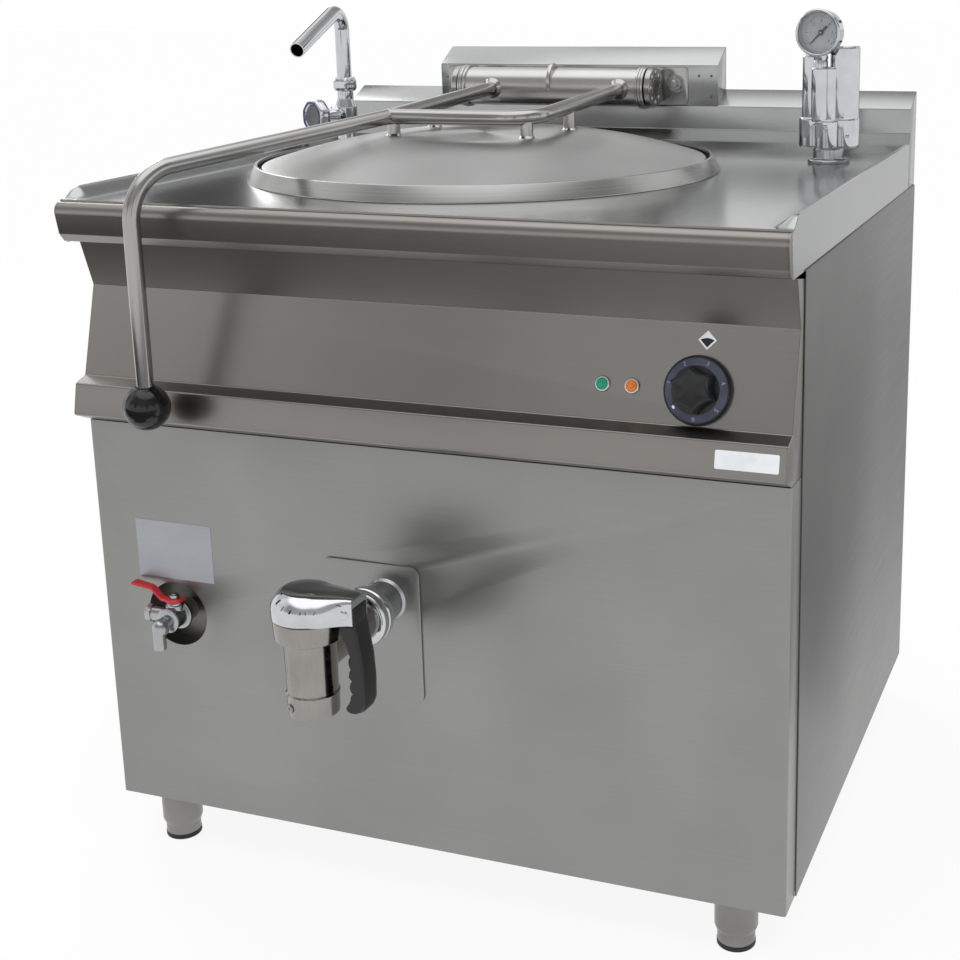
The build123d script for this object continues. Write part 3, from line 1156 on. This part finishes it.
def hinge_drum():
    """Tube that turns with the lid, its end collars, and the small lug on top of it."""
    drum = ring(hinge_point(DRUM_LEFT), hinge_point(DRUM_RIGHT), DRUM_R, DRUM_R - DRUM_WALL)
    for side, x in ((-1, DRUM_LEFT), (1, DRUM_RIGHT)):
        collar = rod(hinge_point(x - side * 2), hinge_point(x + side * DRUM_COLLAR_W), DRUM_COLLAR_R)
        collar = chamfer(collar.edges().filter_by(GeomType.CIRCLE), 1.5)
        collar -= rod(hinge_point(x - side * 9), hinge_point(x + side * 20), SHAFT_R + SHAFT_RUN)
        drum += collar
    middle = (DRUM_LEFT + DRUM_RIGHT) / 2 + LUG_W / 2
    half = LUG_W / 2
    top = HINGE_Z + DRUM_R
    leaf = [(middle - half, top - 4), (middle - half, top + 4), (middle, top + 10), (middle + half, top + 4),
            (middle + half, top - 4)]
    return drum + along_y(leaf, HINGE_Y - 4, HINGE_Y - 1)


def hinge_shaft():
    """Fixed shaft through the drum and both brackets."""
    out = DRUM_COLLAR_W + BRACKET_GAP + BRACKET_W
    return rod(hinge_point(DRUM_LEFT - out), hinge_point(DRUM_RIGHT + out), SHAFT_R)


def torsion_spring():
    """Close-wound balance spring on the shaft, inside the drum."""
    length = SPRING_TURNS * SPRING_WIRE
    x0 = (DRUM_LEFT + DRUM_RIGHT - length) / 2
    section = [(0, SPRING_BORE_R)]
    for i in range(SPRING_TURNS):
        section.append((i * SPRING_WIRE, SPRING_R - 1.5))
        section.append(((i + 0.5) * SPRING_WIRE, SPRING_R))
    section += [(length, SPRING_R - 1.5), (length, SPRING_BORE_R)]
    coil = revolve(outline(section), axis=Axis.X)
    hub = ring(hinge_point(x0 - 8), hinge_point(x0), SPRING_BORE_R + 3, SHAFT_R + WELD_GAP)
    return Pos(x0, HINGE_Y, HINGE_Z) * coil + hub


def bracket_side():
    """Bracket ends: which side, and the inner face of the bracket plate."""
    out = DRUM_COLLAR_W + BRACKET_GAP
    return ((-1, DRUM_LEFT - out), (1, DRUM_RIGHT + out))


def hinge_brackets():
    """Two brackets: a round eye round the shaft, a web back to the box, and a plate bolted to it."""
    pair = []
    wall = UPSTAND_Y - WALL_PLATE_T
    for side, x in bracket_side():
        outer = x + side * BRACKET_W
        piece = rod(hinge_point(x), hinge_point(outer), BRACKET_R)
        web = [
            (HINGE_Y, HINGE_Z - BRACKET_R), (wall, HINGE_Z - BRACKET_R + 6), (wall, HINGE_Z + BRACKET_R - 6),
            (HINGE_Y, HINGE_Z + BRACKET_R)]
        piece += along_x(web, min(x, outer), max(x, outer))
        plate_in = x - side * 4
        plate_out = plate_in + side * WALL_PLATE_W
        plate = block(min(plate_in, plate_out), max(plate_in, plate_out), wall, UPSTAND_Y,
                      HINGE_Z - WALL_PLATE_H / 2, HINGE_Z + WALL_PLATE_H / 2)
        piece += fillet(plate.edges().filter_by(Axis.Y), 6.0)
        piece -= rod(hinge_point(x - side), hinge_point(outer + side), SHAFT_R + WELD_GAP)
        pair += piece.solids()
    return Compound(children=pair)


def hinge_bolts():
    """Bolt heads round each bracket eye, and the nut on each wall plate."""
    heads = []
    wall = UPSTAND_Y - WALL_PLATE_T
    for side, x in bracket_side():
        outer = x + side * BRACKET_W
        for i in range(4):
            angle = radians(45 + 90 * i)
            y = HINGE_Y + BRACKET_BOLT_PCR * cos(angle)
            z = HINGE_Z + BRACKET_BOLT_PCR * sin(angle)
            heads.append(rod((outer, y, z), (outer + side * 3, y, z), BRACKET_BOLT_R))
        nut_x = x - side * 4 + side * WALL_PLATE_W * 0.64
        nut = Pos(nut_x, wall, HINGE_Z + 3) * Rot(90, 0, 0) * extrude(RegularPolygon(WALL_NUT_R, 6), amount=7)
        heads.append(nut + rod((nut_x, wall - 1, HINGE_Z + 3), (nut_x, wall - 13, HINGE_Z + 3), 5.0))
    return Compound(children=[solid for head in heads for solid in head.solids()])


def foot_places():
    """Name and plan position of each foot."""
    return {
        "front_left": (-FOOT_X, FOOT_INSET), "front_right": (FOOT_X, FOOT_INSET),
        "rear_left": (-FOOT_X, FOOT_REAR_Y), "rear_right": (FOOT_X, FOOT_REAR_Y),
    }


def foot_sleeves():
    """Fixed sleeves under the base that the feet screw into."""
    bore = FOOT_STEM_R + FOOT_RUN
    section = [
        (bore, 0), (FOOT_R, 0), (FOOT_R, FOOT_TAPER - FOOT_SLEEVE_H), (bore + 0.5, -FOOT_SLEEVE_H),
        (bore, -FOOT_SLEEVE_H)]
    sleeves = [turned(section, x, y) for x, y in foot_places().values()]
    return Compound(children=[solid for sleeve in sleeves for solid in sleeve.solids()])


def foot(x, y):
    """One levelling foot: stem and floor pad."""
    pad_top = -FOOT_HEIGHT + FOOT_PAD_H
    section = [
        (0, -FOOT_HEIGHT), (FOOT_PAD_R - 1, -FOOT_HEIGHT), (FOOT_PAD_R, -FOOT_HEIGHT + 1),
        (FOOT_PAD_R, pad_top - 1), (FOOT_STEM_R, pad_top), (FOOT_STEM_R, -3), (0, -3),
    ]
    return turned(section, x, y)


def main():
    """Writes every piece."""
    os.makedirs("parts", exist_ok=True)
    save("base_tray", base_tray())
    save("support_frame", support_frame())
    save("front_panel", front_panel())
    save("control_fascia", control_fascia())
    save("side_panel_left", side_panel(-1))
    save("side_panel_right", side_panel(1))
    save("rear_panel", rear_panel())
    save("worktop", worktop())
    save("worktop_front", worktop_front())
    save("upstand", upstand())
    save("hinge_box", hinge_box())
    save("pan_collar", pan_collar())
    save("pan_wall", pan_wall())
    save("pan_bottom", pan_bottom())
    save("jacket_shell", jacket_shell())
    save("insulation", insulation())
    save("heating_elements", heating_elements())
    save("draw_off_pipe", draw_off_pipe())
    save("escutcheon_plate", escutcheon_plate())
    save("draw_off_coupling", draw_off_coupling())
    save("draw_off_body", draw_off_body())
    save("draw_off_pin", draw_off_pin())
    save("draw_off_plug", draw_off_plug())
    save("draw_off_hood", draw_off_hood())
    save("draw_off_handle", draw_off_handle())
    save("jacket_pipes", Compound(children=level_pipe().solids() + steam_pipe().solids()))
    save("tap_recess", tap_recess())
    save("level_tap_body", level_tap_body())
    save("level_tap_ball", level_tap_ball())
    save("level_tap_lever", level_tap_lever())
    save("water_tap_body", water_tap_body())
    save("water_tap_spout", water_tap_spout())
    save("water_tap_handwheel", water_tap_handwheel())
    save("water_pipe", water_pipe())
    save("water_inlet", water_inlet())
    save("cable_gland", cable_gland())
    save("safety_base", safety_base())
    save("safety_body", safety_body())
    save("gauge_case", gauge_case())
    save("gauge_dial", gauge_dial())
    save("gauge_needle", gauge_needle())
    save("gauge_glass", gauge_glass())
    save("green_lamp", lamp(GREEN_X))
    save("orange_lamp", lamp(ORANGE_X))
    save("thermostat_knob", thermostat_knob())
    save("control_gear", Compound(children=thermostat_body().solids() + control_box().solids()))
    save("lid", lid())
    save("lid_frame", lid_frame())
    save("lid_handle", lid_handle())
    save("ball_knob", ball_knob())
    save("hinge_drum", hinge_drum())
    save("hinge_shaft", hinge_shaft())
    save("torsion_spring", torsion_spring())
    save("hinge_brackets", hinge_brackets())
    save("hinge_bolts", hinge_bolts())
    save("foot_sleeves", foot_sleeves())
    for name, (x, y) in foot_places().items():
        save(f"foot_{name}", foot(x, y))


main()
